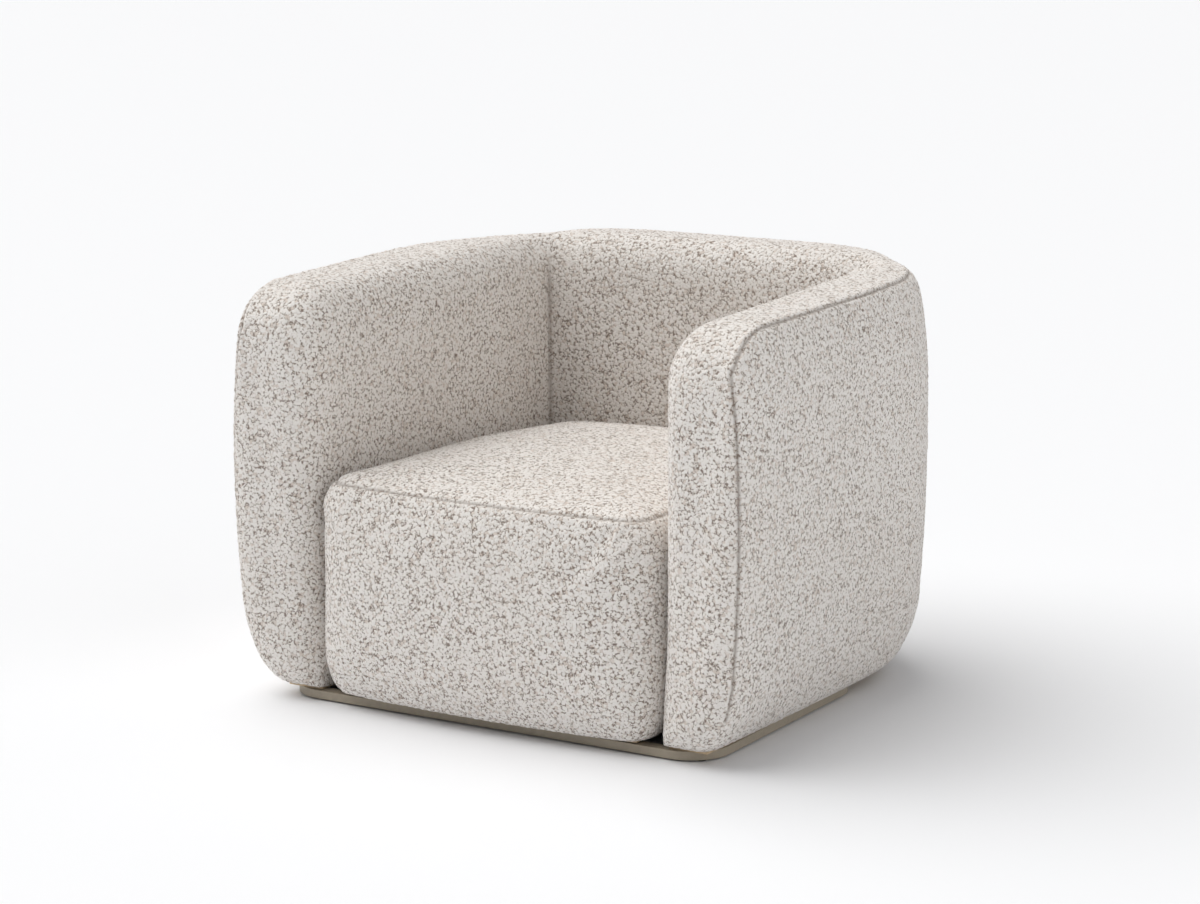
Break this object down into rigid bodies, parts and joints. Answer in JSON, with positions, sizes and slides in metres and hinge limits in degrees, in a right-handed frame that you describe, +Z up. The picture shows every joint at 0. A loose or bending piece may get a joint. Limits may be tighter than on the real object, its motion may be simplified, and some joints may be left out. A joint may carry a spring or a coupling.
{
  "type": "upholstered armchair",
  "caption": "Low upholstered armchair: wrap-round arms and back of even height, a tight rounded seat block between them, and a thin recessed plinth on glides.",
  "frame": {"origin": "on the floor, in the middle of the chair's footprint", "axes": "+X to the right as seen from the front, +Y from front to back, +Z up"},
  "size_m": [0.95, 0.9, 0.685],
  "materials": {
    "boucle": "looped boucle weave in warm greige, matt",
    "taupe_paint": "painted taupe, satin",
    "cream_foam": "open-cell foam, matt",
    "white_wadding": "polyester wadding, matt",
    "birch_ply": "sanded plywood, raw",
    "beech": "planed beech, raw",
    "fibreboard": "pressed fibreboard, smooth one side",
    "spring_steel": "oil-tempered wire",
    "zinc_steel": "bright zinc plating",
    "glide_nylon": "black nylon, moulded",
    "black_nonwoven": "spun-bonded cloth, matt",
    "grey_felt": "needled felt",
    "brown_webbing": "elastic webbing with a coarse weave"
  },
  "bodies": {
    "root": {"plinth_front": "taupe_paint", "plinth_rear": "taupe_paint", "plinth_left": "taupe_paint", "plinth_right": "taupe_paint", "rear_foot_bar": "taupe_paint", "plinth_screws": "zinc_steel", "glides": "glide_nylon", "glide_nails": "zinc_steel", "dust_cover": "black_nonwoven", "seat_front_panel": "birch_ply", "seat_rear_panel": "birch_ply", "seat_side_panel_left": "birch_ply", "seat_side_panel_right": "birch_ply", "seat_corner_blocks": "beech", "seat_springs": "spring_steel", "spring_clips": "zinc_steel", "spring_tie_wires": "spring_steel", "deck_felt": "grey_felt", "seat_foam_core": "cream_foam", "seat_foam_nose": "cream_foam", "seat_side_pad_left": "white_wadding", "seat_side_pad_right": "white_wadding", "seat_topper": "white_wadding", "seat_cover_top": "boucle", "seat_cover_boxing": "boucle", "arm_base_left": "birch_ply", "arm_base_right": "birch_ply", "arm_ribs_left": "birch_ply", "arm_ribs_right": "birch_ply", "arm_inner_panel_left": "birch_ply", "arm_inner_panel_right": "birch_ply", "arm_outer_board_left": "fibreboard", "arm_outer_board_right": "fibreboard", "arm_top_rail_left": "beech", "arm_top_rail_right": "beech", "corner_base_plates": "birch_ply", "corner_top_plates": "birch_ply", "back_base": "birch_ply", "back_top_rail": "beech", "back_posts": "beech", "back_ribs": "birch_ply", "back_webbing": "brown_webbing", "back_outer_board": "fibreboard", "foam_outer_left": "cream_foam", "foam_outer_right": "cream_foam", "foam_outer_back": "cream_foam", "foam_inner_left": "cream_foam", "foam_inner_right": "cream_foam", "foam_inner_back": "cream_foam", "foam_top_left": "cream_foam", "foam_top_right": "cream_foam", "foam_top_back": "cream_foam", "foam_front_left": "cream_foam", "foam_front_right": "cream_foam", "cover_outer_left": "boucle", "cover_outer_right": "boucle", "cover_outer_back": "boucle", "cover_inner_left": "boucle", "cover_inner_right": "boucle", "cover_inner_back": "boucle"}
  },
  "joints": []
}
